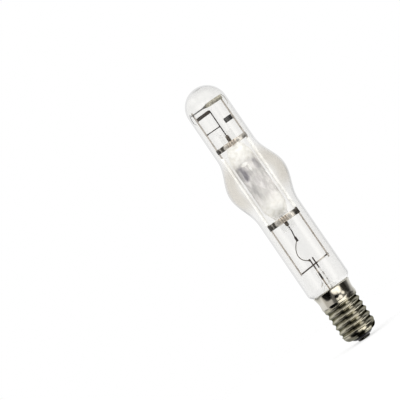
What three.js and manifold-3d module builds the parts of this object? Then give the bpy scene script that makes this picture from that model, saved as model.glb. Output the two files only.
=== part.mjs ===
// A clear metal-halide grow lamp with a bulged tubular outer bulb and an E40 screw cap.
//
// Units are millimetres. The lamp's axis is Z, with the cap down. The origin is the centre of the flat face
// of the centre contact, so the dome's tip is at z = OVERALL_LENGTH. The mount's two side rods lie in the XZ
// plane.

import * as THREE from 'three';
import { mergeVertices } from 'three/addons/utils/BufferGeometryUtils.js';
import Module from 'manifold-3d';

const wasm = await Module();
wasm.setup();

// ---- driving dimensions -----------------------------------------------------------------------------

const OVERALL_LENGTH = 316;
const DOME_DIAMETER = 47;
const NECK_DIAMETER = 50;
const GLASS_WALL = 1.4;

const BULGE_DIAMETER = 69;
const BULGE_CENTRE = 198;
const BULGE_HALF_LENGTH = 40;

const NECK_END_DIAMETER = 36; // of the glass inside the cap
const NECK_END = 48;
const SHOULDER_START = 58; // the neck narrows just above the cap's rim
const SHOULDER_END = 68;

const CAP_RIM = 62;
const THREAD_DIAMETER = 39.5; // E40
const THREAD_PITCH = 6.35;
const THREAD_DEPTH = 1.75;
const THREAD_START = 12.2;
const THREAD_END = 45;
const THREAD_PHASE = 1.6; // lifts the whole helix
const SHELL_SHEET = 0.5;
const LIP_BEND = 6.4; // radius of the rounded lip that turns in under the thread
const LIP_TOP = 11.6;
const MOUTH_RADIUS = 12.5; // of the shell's bottom opening, filled by black glass

const ROD_OFFSET = 17.3; // of each side rod from the axis
const ROD_RADIUS = 0.9;
const ROD_BOTTOM = 90.5;
const ROD_TOP = 296.5;
const CROSSBAR_HEIGHT = 92.5;

const ARC_TUBE_DIAMETER = 26.7;
const ARC_TUBE_BOTTOM = 154;
const ARC_TUBE_TOP = 243;
const ARC_TUBE_SHOULDER = 16; // length of each rounded end
const QUARTZ_WALL = 1.3;
const PINCH_LENGTH = 17;
const PINCH_WIDTH = 16;
const PINCH_THICKNESS = 5;

const UPPER_STRAP_HEIGHT = 246;
const LOWER_STRAP_HEIGHT = 149;

const LEFT_LEAD = new THREE.Vector2(-1.3, -3.8); // where each stem lead stands, seen from above
const RIGHT_LEAD = new THREE.Vector2(2.3, 3.8);
const LEAD_RADIUS = 0.75;
const LEAD_TOP = 100;
const LEAD_BOTTOM = 62;
const PRESS_BOTTOM = 66;
const PRESS_TOP = 84;
const STEM_OFFSET = 0.5; // of the press and the exhaust tube, towards +X

const CLEARANCE = 0.3; // between neighbouring pieces

const DOME_RADIUS = DOME_DIAMETER / 2;
const DOME_CENTRE = OVERALL_LENGTH - DOME_RADIUS;
const ARC_TUBE_MIDDLE = (ARC_TUBE_BOTTOM + ARC_TUBE_TOP) / 2;
const FULL_TURN = 2 * Math.PI;

// ---- materials --------------------------------------------------------------------------------------

const clearGlass = () => new THREE.MeshStandardMaterial({
  color: 0xeef2f2, roughness: 0.03, metalness: 0, transparent: true, opacity: 0.25,
});
const quartz = () => new THREE.MeshStandardMaterial({
  color: 0xe2e2e0, roughness: 0.12, metalness: 0, transparent: true, opacity: 0.6,
});
const nickel = () => new THREE.MeshStandardMaterial({ color: 0xb4ab9c, roughness: 0.25, metalness: 1 });
const steelWire = () => new THREE.MeshStandardMaterial({ color: 0x8b8580, roughness: 0.35, metalness: 1 });
const darkMetal = () => new THREE.MeshStandardMaterial({ color: 0x2c2a28, roughness: 0.6, metalness: 0.8 });
const tungsten = () => new THREE.MeshStandardMaterial({ color: 0x5a5a5c, roughness: 0.5, metalness: 1 });
const whiteCeramic = () => new THREE.MeshStandardMaterial({ color: 0xeeebe2, roughness: 0.55, metalness: 0 });
const cement = () => new THREE.MeshStandardMaterial({ color: 0xcfc8b8, roughness: 0.9, metalness: 0 });
const blackGlass = () => new THREE.MeshStandardMaterial({ color: 0x0b0b0d, roughness: 0.08, metalness: 0 });
const solder = () => new THREE.MeshStandardMaterial({ color: 0xa9a9ab, roughness: 0.3, metalness: 1 });
const metalSalt = () => new THREE.MeshStandardMaterial({ color: 0x8c8794, roughness: 0.7, metalness: 0 });

// ---- geometry helpers -------------------------------------------------------------------------------

function named(name, geometry, material) {
  const mesh = new THREE.Mesh(geometry, material);
  mesh.name = name;
  return mesh;
}

function point(x, y, z) {
  return new THREE.Vector3(x, y, z);
}

// Turns an outline of [radius, height] pairs about the Z axis. A solid's outline starts and ends on the axis,
// and a ring's or a shell's is closed on itself. Both run upwards on the outside.
function turned(outline, segments) {
  const points = outline.map(([radius, height]) => new THREE.Vector2(radius, height));
  return new THREE.LatheGeometry(points, segments).rotateX(Math.PI / 2);
}

function turnedRing(outline, segments) {
  return turned([...outline, outline[0]], segments);
}

// A round bar from one point to another.
function bar(from, to, radius, sides = 8) {
  const along = to.clone().sub(from);
  const geometry = new THREE.CylinderGeometry(radius, radius, along.length(), sides);
  const cylinderAxis = new THREE.Vector3(0, 1, 0);
  geometry.applyQuaternion(new THREE.Quaternion().setFromUnitVectors(cylinderAxis, along.clone().normalize()));
  const middle = from.clone().add(to).multiplyScalar(0.5);
  return geometry.translate(middle.x, middle.y, middle.z);
}

function block(width, depth, height, centre) {
  return new THREE.BoxGeometry(width, depth, height).translate(centre.x, centre.y, centre.z);
}

// A path through the corners, with each corner rounded.
function bentPath(corners, bend) {
  const path = new THREE.CurvePath();
  let from = corners[0];
  for (let i = 1; i < corners.length - 1; i += 1) {
    const corner = corners[i];
    const before = corner.clone().add(from.clone().sub(corner).setLength(bend));
    const after = corner.clone().add(corners[i + 1].clone().sub(corner).setLength(bend));
    path.add(new THREE.LineCurve3(from, before));
    path.add(new THREE.QuadraticBezierCurve3(before, corner, after));
    from = after;
  }
  path.add(new THREE.LineCurve3(from, corners[corners.length - 1]));
  return path;
}

function roundSection(radius) {
  const section = new THREE.Shape();
  section.absarc(0, 0, radius, 0, FULL_TURN);
  return section;
}

function flatSection(width, thickness) {
  const section = new THREE.Shape();
  section.moveTo(-width / 2, -thickness / 2);
  section.lineTo(width / 2, -thickness / 2);
  section.lineTo(width / 2, thickness / 2);
  section.lineTo(-width / 2, thickness / 2);
  section.closePath();
  return section;
}

function swept(section, path, steps) {
  const options = { extrudePath: path, steps, curveSegments: 3, bevelEnabled: false };
  return new THREE.ExtrudeGeometry(section, options);
}

// A strip of sheet metal: its centre line is given in a plane, and its width is square to that plane.
function stripShape(line, thickness) {
  const points = line.map(([x, y]) => new THREE.Vector2(x, y));
  const side = (sign) => points.map((here, i) => {
    const previous = points[Math.max(i - 1, 0)];
    const next = points[Math.min(i + 1, points.length - 1)];
    const direction = next.clone().sub(previous).normalize();
    const normal = new THREE.Vector2(-direction.y, direction.x);
    return here.clone().add(normal.multiplyScalar((sign * thickness) / 2));
  });
  return new THREE.Shape([...side(-1), ...side(1).reverse()]);
}

function strip(line, thickness, width) {
  const shape = stripShape(line, thickness);
  return new THREE.ExtrudeGeometry(shape, { depth: width, bevelEnabled: false }).translate(0, 0, -width / 2);
}

function toSolid(geometry) {
  const bare = geometry.clone();
  bare.deleteAttribute('normal');
  bare.deleteAttribute('uv');
  const merged = mergeVertices(bare, 1e-4);
  return new wasm.Manifold(new wasm.Mesh({
    numProp: 3,
    vertProperties: merged.attributes.position.array,
    triVerts: new Uint32Array(merged.index.array),
  }));
}

function toGeometry(solid) {
  const mesh = solid.getMesh();
  const geometry = new THREE.BufferGeometry();
  geometry.setAttribute('position', new THREE.BufferAttribute(mesh.vertProperties, 3));
  geometry.setIndex(new THREE.BufferAttribute(mesh.triVerts, 1));
  geometry.computeVertexNormals();
  return geometry;
}

function joined(geometries) {
  return toGeometry(geometries.map(toSolid).reduce((all, next) => all.add(next)));
}

function cut(geometry, tools) {
  return toGeometry(tools.map(toSolid).reduce((rest, tool) => rest.subtract(tool), toSolid(geometry)));
}

// Rises from 0 to 1 with level ends.
function smoothStep(t) {
  const s = Math.min(Math.max(t, 0), 1);
  return s * s * (3 - 2 * s);
}

function spaced(from, to, count) {
  return Array.from({ length: count + 1 }, (_, i) => from + ((to - from) * i) / count);
}

// ---- outer bulb -------------------------------------------------------------------------------------

// Outer radius of the glass below the dome: neck end, shoulder, neck, bulge and dome tube.
function bulbRadius(z) {
  const intoNeck = smoothStep((z - SHOULDER_START) / (SHOULDER_END - SHOULDER_START));
  const neck = (NECK_END_DIAMETER + (NECK_DIAMETER - NECK_END_DIAMETER) * intoNeck) / 2;
  const intoTube = smoothStep((z - BULGE_CENTRE) / BULGE_HALF_LENGTH + 0.5);
  const base = neck + (DOME_RADIUS - neck) * intoTube;
  const fromCentre = Math.min(Math.abs(z - BULGE_CENTRE) / BULGE_HALF_LENGTH, 1);
  const swell = 0.5 + 0.5 * Math.cos(Math.PI * fromCentre);
  return base + (BULGE_DIAMETER / 2 - base) * swell;
}

function outerBulb() {
  const heights = [
    NECK_END,
    ...spaced(SHOULDER_START, SHOULDER_END, 5),
    ...spaced(BULGE_CENTRE - BULGE_HALF_LENGTH, BULGE_CENTRE + BULGE_HALF_LENGTH, 12),
  ];
  const domeAngles = spaced(0, Math.PI / 2, 7);
  const wallAt = (inset) => [
    ...heights.map((z) => [bulbRadius(z) - inset, z]),
    ...domeAngles.slice(0, -1).map((angle) => [
      (DOME_RADIUS - inset) * Math.cos(angle),
      DOME_CENTRE + (DOME_RADIUS - inset) * Math.sin(angle),
    ]),
    [0, OVERALL_LENGTH - inset],
  ];
  // The neck stays open at the bottom, so the outline goes down the inside of the wall and up the outside.
  const outline = [...wallAt(GLASS_WALL).reverse(), ...wallAt(0)];
  return named('outer_bulb', turned(outline, 32), clearGlass());
}

// ---- stem -------------------------------------------------------------------------------------------

const STEM_RADIUS = 8;
const FLARE_BOTTOM = 51;
const FLARE_RADIUS = 16;
const FLARE_TOP = 65;
const STEM_WALL = 1.2;

function glassStem() {
  // The flare runs from the neck wall to the stem tube along a quarter ellipse.
  const flare = (inset) => spaced(0, Math.PI / 2, 5).map((angle) => [
    FLARE_RADIUS - (FLARE_RADIUS - STEM_RADIUS + inset) * Math.sin(angle),
    FLARE_TOP - (FLARE_TOP - FLARE_BOTTOM + inset) * Math.cos(angle),
  ]);
  const tubeTop = PRESS_BOTTOM + 4;
  const tube = turned([
    [0, PRESS_BOTTOM],
    [STEM_RADIUS - STEM_WALL, PRESS_BOTTOM],
    ...flare(STEM_WALL).reverse(),
    ...flare(0),
    [STEM_RADIUS, tubeTop],
    [0, tubeTop],
  ], 24);

  const pressHeight = PRESS_TOP - PRESS_BOTTOM - 1;
  const pressThickness = 5;
  const glassOutsideLeads = 3.25;
  const spread = RIGHT_LEAD.clone().sub(LEFT_LEAD);
  const press = new THREE.BoxGeometry(spread.length() + 2 * glassOutsideLeads, pressThickness, pressHeight)
    .rotateZ(spread.angle())
    .translate(STEM_OFFSET, 0, PRESS_TOP - pressHeight / 2);

  const bores = [LEFT_LEAD, RIGHT_LEAD].map((lead) => bar(
    point(lead.x, lead.y, FLARE_BOTTOM),
    point(lead.x, lead.y, PRESS_TOP + 1),
    LEAD_RADIUS + CLEARANCE,
  ));
  return named('glass_stem', cut(joined([tube, press]), bores), clearGlass());
}

function exhaustTube() {
  const radius = 2.2;
  const wall = 0.8;
  const bottom = 30;
  const top = PRESS_BOTTOM - CLEARANCE;
  const outline = [[0, bottom], [radius * 0.7, bottom + 1], [radius, bottom + 3], [radius, top],
    [radius - wall, top], [radius - wall, bottom + 5], [0, bottom + 4]];
  return named('exhaust_tube', turned(outline, 12).translate(STEM_OFFSET, 0, 0), clearGlass());
}

function stemLead(name, lead) {
  const wire = bar(point(lead.x, lead.y, LEAD_BOTTOM), point(lead.x, lead.y, LEAD_TOP), LEAD_RADIUS);
  return named(name, wire, darkMetal());
}

// ---- mount frame ------------------------------------------------------------------------------------

function sideRod(name, side) {
  const x = side * ROD_OFFSET;
  return named(name, bar(point(x, 0, ROD_BOTTOM), point(x, 0, ROD_TOP), ROD_RADIUS), steelWire());
}

// The crossbar lies behind the rods and in front of the right stem lead, and is welded to all three.
function bottomCrossbar() {
  const radius = 0.8;
  const y = ROD_RADIUS + radius + 0.1;
  const half = ROD_OFFSET + 1;
  const wire = bar(point(-half, y, CROSSBAR_HEIGHT), point(half, y, CROSSBAR_HEIGHT), radius);
  return named('bottom_crossbar', wire, steelWire());
}

function rodSleeve(name, side, top) {
  const inner = ROD_RADIUS + CLEARANCE;
  const outer = inner + 0.6;
  const bottom = LOWER_STRAP_HEIGHT + 4;
  const tube = turnedRing([[outer, bottom], [outer, top], [inner, top], [inner, bottom]], 12);
  return named(name, tube.translate(side * ROD_OFFSET, 0, 0), whiteCeramic());
}

// One half of a clamp strap: flat against the pinch, then stepped back to the side rods.
function strapHalf(name, height, width, face) {
  const thickness = 0.5;
  const atPinch = face * (PINCH_THICKNESS / 2 + CLEARANCE + thickness / 2);
  const atRod = face * (ROD_RADIUS + CLEARANCE + thickness / 2);
  const pinchEdge = PINCH_WIDTH / 2 + 1;
  const rodEdge = pinchEdge + 3;
  const end = ROD_OFFSET + 2;
  const line = [[-end, atRod], [-rodEdge, atRod], [-pinchEdge, atPinch],
    [pinchEdge, atPinch], [rodEdge, atRod], [end, atRod]];
  return named(name, strip(line, thickness, width).translate(0, 0, height), nickel());
}

function topStrap() {
  const thickness = 0.4;
  const y = -(ROD_RADIUS + 0.2 + thickness / 2);
  const end = ROD_OFFSET + 1.9;
  const band = strip([[-end, y], [end, y]], thickness, 5);
  return named('top_strap', band.translate(0, 0, ROD_TOP - 2.8), nickel());
}

// A leaf that stands on the end of the top strap and bows out to bear on the dome tube.
function domeSpring(name, side) {
  const bearing = DOME_RADIUS - GLASS_WALL - CLEARANCE - 0.5;
  const foot = ROD_OFFSET + 2.4;
  const line = [[foot, ROD_TOP - 0.5], [foot + 1.2, ROD_TOP - 2.5], [bearing, ROD_TOP - 5.5],
    [bearing, ROD_TOP - 9], [bearing - 0.5, ROD_TOP - 11.5], [bearing - 1.6, ROD_TOP - 13.5]];
  const leaf = strip(line, 0.4, 5).rotateX(Math.PI / 2);
  if (side < 0) leaf.rotateZ(Math.PI);
  return named(name, leaf, nickel());
}

// ---- arc tube ---------------------------------------------------------------------------------------

const ELECTRODE_RADIUS = 0.5;
const ELECTRODE_REACH = 10; // from the arc tube's end to the electrode's tip
const FOIL_WIDTH = 4;
const FOIL_START = 4; // from the arc tube's end, inside the pinch
const FOIL_LENGTH = 9.5;
const ARC_LEAD_RADIUS = 0.6;

// Heights measured outwards from one end of the arc tube: end +1 is the upper one, -1 the lower one.
function outFromEnd(end, distance) {
  return end > 0 ? ARC_TUBE_TOP + distance : ARC_TUBE_BOTTOM - distance;
}

function arcTubeBody(inset) {
  const radius = ARC_TUBE_DIAMETER / 2 - inset;
  const half = (ARC_TUBE_TOP - ARC_TUBE_BOTTOM) / 2 - inset;
  const shoulder = ARC_TUBE_SHOULDER - inset;
  const upper = spaced(0, Math.PI / 2, 6).map((angle) => [
    radius * Math.cos(angle),
    half - shoulder + shoulder * Math.sin(angle),
  ]);
  upper[upper.length - 1][0] = 0;
  const lower = upper.map(([r, z]) => [r, -z]).reverse();
  return turned([...lower, ...upper], 24).translate(0, 0, ARC_TUBE_MIDDLE);
}

function arcTube() {
  const insideShoulder = 4; // how far each pinch reaches into the rounded end
  const pinches = [1, -1].map((end) => block(
    PINCH_WIDTH,
    PINCH_THICKNESS,
    PINCH_LENGTH + insideShoulder,
    point(0, 0, outFromEnd(end, (PINCH_LENGTH - insideShoulder) / 2)),
  ));
  const channels = [1, -1].flatMap((end) => [
    bar(
      point(0, 0, outFromEnd(end, -5)),
      point(0, 0, outFromEnd(end, PINCH_LENGTH + 1)),
      ARC_LEAD_RADIUS + CLEARANCE,
    ),
    block(
      FOIL_WIDTH + 2 * CLEARANCE,
      3 * CLEARANCE,
      FOIL_LENGTH + 2 * CLEARANCE,
      point(0, 0, outFromEnd(end, FOIL_START + FOIL_LENGTH / 2)),
    ),
  ]);
  const outside = joined([arcTubeBody(0), ...pinches]);
  return named('arc_tube', cut(outside, [arcTubeBody(QUARTZ_WALL), ...channels]), quartz());
}

function electrode(name, end) {
  const tip = outFromEnd(end, -ELECTRODE_REACH);
  const root = outFromEnd(end, FOIL_START - CLEARANCE);
  return named(name, bar(point(0, 0, tip), point(0, 0, root), ELECTRODE_RADIUS), tungsten());
}

class Helix extends THREE.Curve {
  constructor(radius, pitch, turns) {
    super();
    this.radius = radius;
    this.pitch = pitch;
    this.turns = turns;
  }

  getPoint(t, target = new THREE.Vector3()) {
    const angle = t * this.turns * FULL_TURN;
    const height = t * this.turns * this.pitch;
    return target.set(this.radius * Math.cos(angle), this.radius * Math.sin(angle), height);
  }
}

// The tungsten coil wound over the electrode, just behind its tip.
function electrodeCoil(name, end) {
  const wireRadius = 0.35;
  const turns = 5;
  const pitch = 1;
  const helix = new Helix(ELECTRODE_RADIUS + CLEARANCE + wireRadius, pitch, turns);
  const coil = swept(roundSection(wireRadius), helix, turns * 10);
  const nearTip = outFromEnd(end, 1 - ELECTRODE_REACH);
  const start = end > 0 ? nearTip : nearTip - turns * pitch;
  return named(name, coil.translate(0, 0, start), tungsten());
}

function foil(name, end) {
  const centre = point(0, 0, outFromEnd(end, FOIL_START + FOIL_LENGTH / 2));
  return named(name, block(FOIL_WIDTH, CLEARANCE, FOIL_LENGTH, centre), darkMetal());
}

// The condensed dose of metal salts lies as a shallow ring around the foot of the lower electrode.
function saltDose() {
  const bottom = ARC_TUBE_BOTTOM + QUARTZ_WALL;
  const ring = turnedRing([[2, bottom + 0.6], [5, bottom + 1.9], [4.6, bottom + 2.5], [2, bottom + 1.7]], 20);
  return named('salt_dose', ring, metalSalt());
}

// ---- arc tube leads ---------------------------------------------------------------------------------

const UPPER_LEAD_TOP = 288.5;
const LOWER_JOINT = new THREE.Vector3(-0.7, 0, 124.7); // middle of the crimped joint under the arc tube
const JOINT_LENGTH = 5.5;

function arcLeadUpper() {
  const root = outFromEnd(1, FOIL_START + FOIL_LENGTH + CLEARANCE);
  const wire = bar(point(0, 0, root), point(0, 0, UPPER_LEAD_TOP), ARC_LEAD_RADIUS);
  return named('arc_lead_upper', wire, darkMetal());
}

function arcLeadLower() {
  const root = outFromEnd(-1, FOIL_START + FOIL_LENGTH + CLEARANCE);
  const corners = [
    point(0, 0, root),
    point(0, 0, outFromEnd(-1, PINCH_LENGTH + 1)),
    point(LOWER_JOINT.x, 0, LOWER_JOINT.z + JOINT_LENGTH / 2 + 1),
    point(LOWER_JOINT.x, 0, LOWER_JOINT.z - 1),
  ];
  return named('arc_lead_lower', swept(roundSection(ARC_LEAD_RADIUS), bentPath(corners, 1), 16), darkMetal());
}

function leadCrimp() {
  const inner = ARC_LEAD_RADIUS + 0.2;
  const outer = inner + 0.5;
  const half = JOINT_LENGTH / 2;
  const tube = turnedRing([[outer, -half], [outer, half], [inner, half], [inner, -half]], 12);
  return named('lead_crimp', tube.translate(LOWER_JOINT.x, LOWER_JOINT.y, LOWER_JOINT.z), darkMetal());
}

// A slack ribbon in an S from under the crimp to the side of the left stem lead.
function nickelRibbon() {
  const end = LEFT_LEAD.x - LEAD_RADIUS - 0.6;
  const path = new THREE.CatmullRomCurve3([
    point(LOWER_JOINT.x - 0.6, 0, LOWER_JOINT.z - JOINT_LENGTH / 2 - 0.9),
    point(-4.9, -0.3, 119.5),
    point(-7.7, -1, 115.5),
    point(-9.2, -2.2, 109.7),
    point(-7.7, -3.2, 103.7),
    point(-4.9, -3.7, 100.4),
    point(end, LEFT_LEAD.y, LEAD_TOP - 1.5),
  ]);
  return named('nickel_ribbon', swept(flatSection(0.4, 1.8), path, 24), nickel());
}

function upperCrossWire() {
  const height = 268;
  const start = -(ROD_OFFSET - ROD_RADIUS - CLEARANCE);
  const end = -(ARC_LEAD_RADIUS + CLEARANCE);
  return named('upper_cross_wire', bar(point(start, 0, height), point(end, 0, height), 0.6), steelWire());
}

function upperLeadStrip() {
  const start = -(ROD_OFFSET - ROD_RADIUS - CLEARANCE);
  const end = -(ARC_LEAD_RADIUS + CLEARANCE);
  const centre = point((start + end) / 2, 0, UPPER_LEAD_TOP - 1.6);
  return named('upper_lead_strip', block(end - start, 0.5, 3, centre), darkMetal());
}

function getterStrip() {
  const end = ROD_OFFSET - ROD_RADIUS - CLEARANCE;
  const length = 9;
  return named('getter_strip', block(length, 0.6, 5.5, point(end - length / 2, 0, 270)), darkMetal());
}

// ---- cap --------------------------------------------------------------------------------------------

// The rolled right-hand thread: how far the sheet is pressed in from the crest line.
function threadGroove(z, angle) {
  const runIn = 2.2;
  const engaged = smoothStep((z - THREAD_START) / runIn) * smoothStep((THREAD_END - z) / runIn);
  const wave = 0.5 - 0.5 * Math.cos((FULL_TURN * (z - THREAD_PHASE)) / THREAD_PITCH - angle);
  return THREAD_DEPTH * wave * engaged;
}

function rollThread(geometry) {
  const position = geometry.getAttribute('position');
  for (let i = 0; i < position.count; i += 1) {
    const x = position.getX(i);
    const y = position.getY(i);
    const radius = Math.hypot(x, y);
    const scale = (radius - threadGroove(position.getZ(i), Math.atan2(y, x))) / radius;
    position.setXY(i, x * scale, y * scale);
  }
  return geometry;
}

const SIDE_WIRE_HEIGHT = 46.4; // where the return wire comes through the collar, under the end of the glass
const INSULATOR_FACE = 2.3; // height of the insulator's flat face, above the contact's
const CONTACT_STEM_TOP = 6;

// The plain collar above the thread: a bead, a waist and a flare up to the rim. Each pair is how far the
// sheet stands out beyond the thread's crest, and its height.
const COLLAR = [
  [0.1, 45.6],
  [0.65, 47.2],
  [0.7, 48.6],
  [0.25, 51],
  [0.15, 53.5],
  [0.5, 56.5],
  [1.1, 59.5],
  [1.7, 61.3],
  [2.2, CAP_RIM],
];

// The rounded lip, or a curve inside it, from the shell's mouth outwards and up.
function lipArc(bend, end) {
  return spaced(0, end, 5).map((angle) => [
    MOUTH_RADIUS + bend * Math.sin(angle),
    LIP_TOP - bend * Math.cos(angle),
  ]);
}

function capShell() {
  const crest = THREAD_DIAMETER / 2;
  const rows = spaced(THREAD_START, THREAD_END, 26);
  const sheet = (inset) => [
    ...lipArc(LIP_BEND - inset, Math.PI / 2),
    ...rows.map((z) => [crest - inset, z]),
    ...COLLAR.map(([beyondCrest, z]) => [crest + beyondCrest - inset, z]),
  ];
  const outline = [...sheet(0), ...sheet(SHELL_SHEET).reverse()];
  const shell = rollThread(turnedRing(outline, 26));
  const wireHole = bar(
    point(RIGHT_LEAD.x, crest - 3, SIDE_WIRE_HEIGHT),
    point(RIGHT_LEAD.x, crest + 3, SIDE_WIRE_HEIGHT),
    0.9,
  );
  return named('cap_shell', cut(shell, [wireHole]), nickel());
}

// Moulded black glass: it fills the bottom of the shell, comes out of its mouth, and narrows as a cone to the
// centre contact.
function capInsulator() {
  const bore = 3;
  const plug = THREAD_DIAMETER / 2 - THREAD_DEPTH - SHELL_SHEET - CLEARANCE;
  const plugTop = 18;
  const neck = MOUTH_RADIUS - CLEARANCE;
  const bend = LIP_BEND - SHELL_SHEET - CLEARANCE;
  const outline = [
    [bore, INSULATOR_FACE],
    [7.8, INSULATOR_FACE],
    [8.6, INSULATOR_FACE + 0.4],
    [neck - 0.5, LIP_TOP - LIP_BEND - 0.7],
    [neck, LIP_TOP - LIP_BEND - 0.3],
    [neck, LIP_TOP - bend],
    ...lipArc(bend, Math.asin((plug - MOUTH_RADIUS) / bend)),
    [plug, plugTop],
    [bore, plugTop],
  ];
  return named('cap_insulator', turnedRing(outline, 26), blackGlass());
}

function centreContact() {
  const faceRadius = 5;
  const stemRadius = 2.6;
  const top = INSULATOR_FACE - CLEARANCE;
  const outline = [
    [0, 0],
    [faceRadius, 0],
    [faceRadius + 1.4, 0.5],
    [faceRadius + 2.2, 1.3],
    [faceRadius + 2.3, top],
    [stemRadius, top],
    [stemRadius, CONTACT_STEM_TOP],
    [0, CONTACT_STEM_TOP],
  ];
  return named('centre_contact', turned(outline, 24), nickel());
}

// Cement holds the glass in the flare of the collar.
function basingCement() {
  const bottom = 56;
  const top = 59.5;
  const inner = bulbRadius(top) + CLEARANCE;
  const outer = inner + 0.45;
  const ring = turnedRing([[outer, bottom], [outer, top], [inner, top], [inner, bottom]], 24);
  return named('basing_cement', ring, cement());
}

function liveCapWire() {
  const path = bentPath([
    point(LEFT_LEAD.x, LEFT_LEAD.y, LEAD_BOTTOM - CLEARANCE),
    point(LEFT_LEAD.x, LEFT_LEAD.y, 28),
    point(0, 0, 21),
    point(0, 0, CONTACT_STEM_TOP + CLEARANCE),
  ], 2.5);
  return named('cap_wire_live', swept(roundSection(0.5), path, 24), nickel());
}

function returnCapWire() {
  const path = bentPath([
    point(RIGHT_LEAD.x, RIGHT_LEAD.y, LEAD_BOTTOM - CLEARANCE),
    point(RIGHT_LEAD.x, RIGHT_LEAD.y, SIDE_WIRE_HEIGHT),
    point(RIGHT_LEAD.x, THREAD_DIAMETER / 2 + 0.7, SIDE_WIRE_HEIGHT),
  ], 2.5);
  return named('cap_wire_return', swept(roundSection(0.5), path, 24), nickel());
}

// A low dome of solder over the end of the return wire, on the outside of the collar.
function sideSolder() {
  const radius = 2.3;
  const height = 1;
  const dome = spaced(0, Math.PI / 2, 4).map((angle) => [radius * Math.cos(angle), height * Math.sin(angle)]);
  dome[dome.length - 1][0] = 0;
  const start = THREAD_DIAMETER / 2 + 0.7 + CLEARANCE;
  const bead = turned([[0, 0], ...dome], 14).rotateX(-Math.PI / 2);
  return named('side_solder', bead.translate(RIGHT_LEAD.x, start, SIDE_WIRE_HEIGHT), solder());
}

// ---- the lamp ---------------------------------------------------------------------------------------

const cap = new THREE.Group();
cap.add(
  capShell(),
  capInsulator(),
  centreContact(),
  basingCement(),
  liveCapWire(),
  returnCapWire(),
  sideSolder(),
);

const mountFrame = new THREE.Group();
mountFrame.add(
  glassStem(),
  exhaustTube(),
  stemLead('stem_lead_left', LEFT_LEAD),
  stemLead('stem_lead_right', RIGHT_LEAD),
  sideRod('side_rod_left', -1),
  sideRod('side_rod_right', 1),
  bottomCrossbar(),
  rodSleeve('rod_sleeve_left', -1, 238),
  rodSleeve('rod_sleeve_right', 1, 241.5),
  strapHalf('strap_upper_front', UPPER_STRAP_HEIGHT, 5, -1),
  strapHalf('strap_upper_back', UPPER_STRAP_HEIGHT, 5, 1),
  strapHalf('strap_lower_front', LOWER_STRAP_HEIGHT, 6.4, -1),
  strapHalf('strap_lower_back', LOWER_STRAP_HEIGHT, 6.4, 1),
  topStrap(),
  domeSpring('dome_spring_left', -1),
  domeSpring('dome_spring_right', 1),
  getterStrip(),
);

const burner = new THREE.Group();
burner.add(
  arcTube(),
  electrode('electrode_upper', 1),
  electrode('electrode_lower', -1),
  electrodeCoil('electrode_coil_upper', 1),
  electrodeCoil('electrode_coil_lower', -1),
  foil('foil_upper', 1),
  foil('foil_lower', -1),
  saltDose(),
  arcLeadUpper(),
  arcLeadLower(),
  leadCrimp(),
  nickelRibbon(),
  upperCrossWire(),
  upperLeadStrip(),
);

const lamp = new THREE.Group();
lamp.add(outerBulb(), cap, mountFrame, burner);

export default lamp;
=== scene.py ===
from functools import partial, reduce
from math import acos, copysign, cos, exp, pi, radians, sin, sqrt

import bpy
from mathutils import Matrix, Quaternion, Vector, noise


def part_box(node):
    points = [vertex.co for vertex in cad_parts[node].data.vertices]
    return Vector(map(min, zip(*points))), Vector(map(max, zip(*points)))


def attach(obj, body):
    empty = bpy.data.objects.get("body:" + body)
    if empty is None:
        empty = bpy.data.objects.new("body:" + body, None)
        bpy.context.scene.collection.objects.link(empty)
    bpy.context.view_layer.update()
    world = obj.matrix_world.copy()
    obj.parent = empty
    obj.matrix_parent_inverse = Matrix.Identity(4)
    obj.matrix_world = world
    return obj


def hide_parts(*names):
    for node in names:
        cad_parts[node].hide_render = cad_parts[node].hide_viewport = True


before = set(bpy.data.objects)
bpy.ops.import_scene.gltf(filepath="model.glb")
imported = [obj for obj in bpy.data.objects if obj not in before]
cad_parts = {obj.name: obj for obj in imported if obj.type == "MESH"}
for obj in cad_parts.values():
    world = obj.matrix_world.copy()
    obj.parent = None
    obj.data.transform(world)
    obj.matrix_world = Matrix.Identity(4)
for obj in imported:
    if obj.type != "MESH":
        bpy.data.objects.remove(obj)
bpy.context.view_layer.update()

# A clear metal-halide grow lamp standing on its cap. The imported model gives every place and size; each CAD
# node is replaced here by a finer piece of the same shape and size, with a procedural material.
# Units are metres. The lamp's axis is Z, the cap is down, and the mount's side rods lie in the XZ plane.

MM = 0.001
TAU = 2 * pi
QUARTER = pi / 2
scene = bpy.context.scene
scene.view_settings.view_transform = "Standard"
scene.cycles.max_bounces = 24
scene.cycles.transmission_bounces = 24
scene.cycles.transparent_max_bounces = 32


# ---- places and sizes ----

def low(node):
    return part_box(node)[0]


def high(node):
    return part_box(node)[1]


def middle(node):
    return (low(node) + high(node)) / 2


def size(node):
    return high(node) - low(node)


LENGTH = high("outer_bulb").z
BULGE_RADIUS = high("outer_bulb").x
DOME_RADIUS = 23.5 * MM
NECK_RADIUS = 25 * MM
NECK_END_RADIUS = 18 * MM
NECK_END = low("outer_bulb").z
SHOULDER = (58 * MM, 68 * MM)
BULGE_CENTRE = 198 * MM
BULGE_HALF_LENGTH = 40 * MM
GLASS_WALL = 1.4 * MM

LEFT_LEAD = middle("stem_lead_left")
RIGHT_LEAD = middle("stem_lead_right")
LEAD_RADIUS = size("stem_lead_left").x / 2
ROD_X = middle("side_rod_right").x
ROD_RADIUS = size("side_rod_right").x / 2

ARC_RADIUS = high("arc_tube").x
ARC_BOTTOM = 154 * MM
ARC_TOP = 243 * MM
ARC_SHOULDER = 16 * MM
QUARTZ_WALL = 1.3 * MM
PINCH_WIDTH = 16 * MM
PINCH_THICKNESS = 5 * MM

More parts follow.
